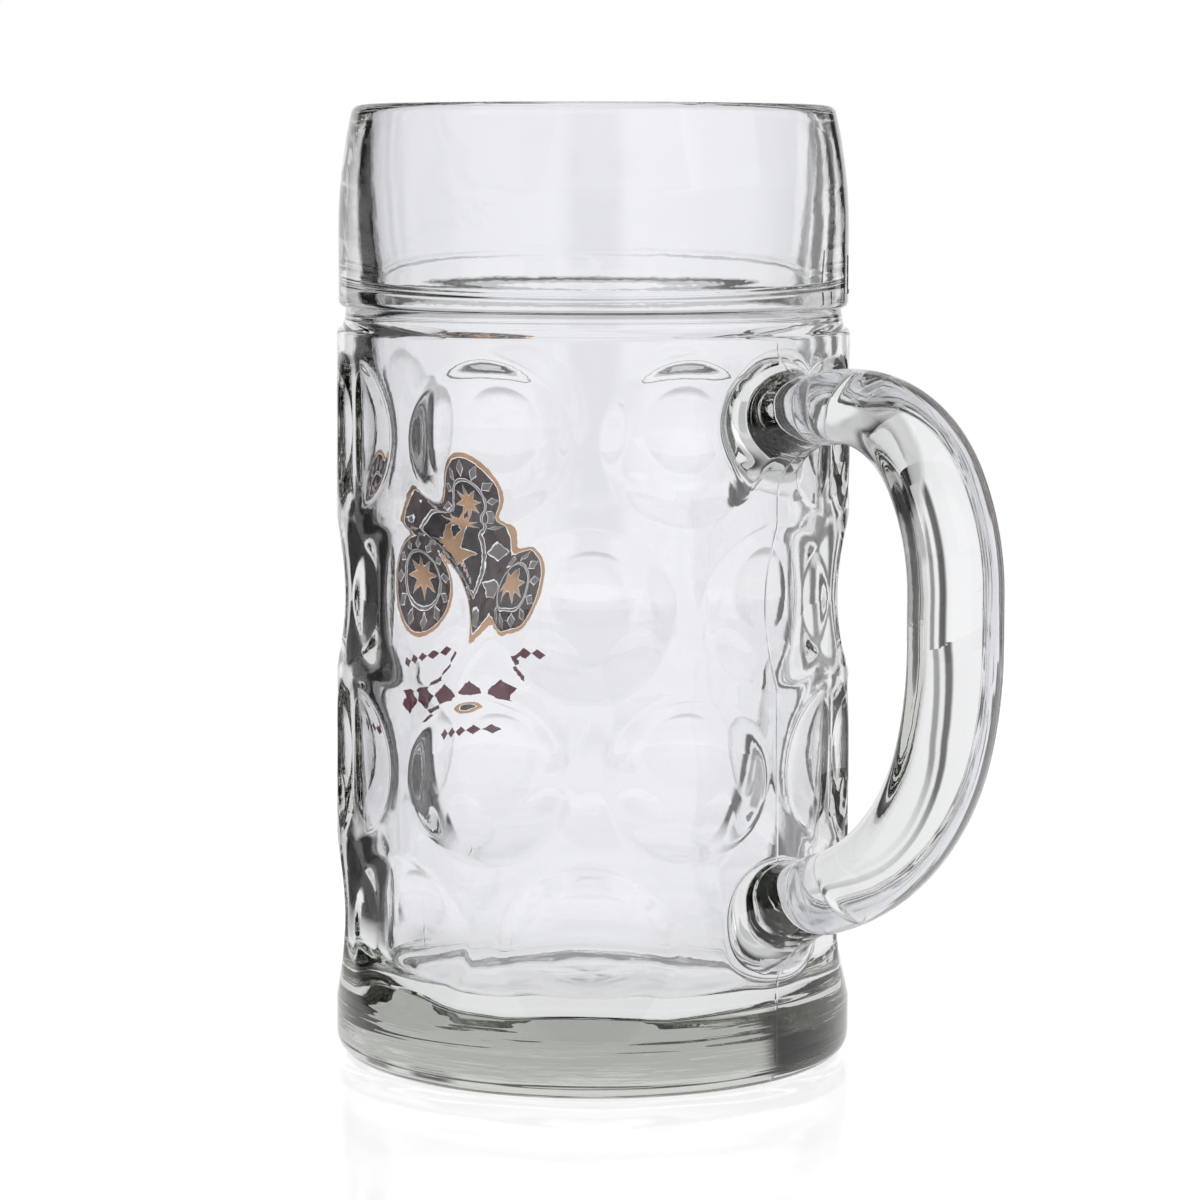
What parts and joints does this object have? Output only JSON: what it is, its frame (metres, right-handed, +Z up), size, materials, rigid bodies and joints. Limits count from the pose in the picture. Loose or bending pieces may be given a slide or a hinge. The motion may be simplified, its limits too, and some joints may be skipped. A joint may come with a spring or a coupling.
{
  "type": "dimpled glass beer mug",
  "caption": "Tall clear glass beer mug with a dimpled body, a plain drinking band, a thick foot and a D-shaped glass handle on moulded pads.",
  "frame": {"origin": "centre of the flat foot, on the surface that the mug stands on", "axes": "+Z up along the axis of the body, +X from the axis towards the handle, +Y to the left of a hand that holds it"},
  "size_m": [0.1645, 0.1092, 0.2],
  "materials": {
    "body_glass": "clear soda-lime glass, mould-blown and fire-polished, faint green in the thick places",
    "handle_glass": "clear soda-lime glass, pressed, fire-polished and welded on hot",
    "mark_enamel": "black ceramic enamel, fired on, semi-gloss",
    "gold_enamel": "gold-orange ceramic colour, fired on, satin",
    "brown_enamel": "dark brown ceramic colour, fired on, semi-gloss",
    "grey_enamel": "warm grey ceramic colour, fired on, semi-gloss",
    "black_enamel": "black ceramic colour, fired on, semi-gloss",
    "red_enamel": "crimson ceramic colour, fired on, semi-gloss"
  },
  "bodies": {
    "root": {"glass_body": "body_glass", "handle": "handle_glass", "fill_mark": "mark_enamel", "print_gold": "gold_enamel", "print_brown": "brown_enamel", "print_grey": "grey_enamel", "print_black": "black_enamel", "print_red": "red_enamel"}
  },
  "joints": []
}
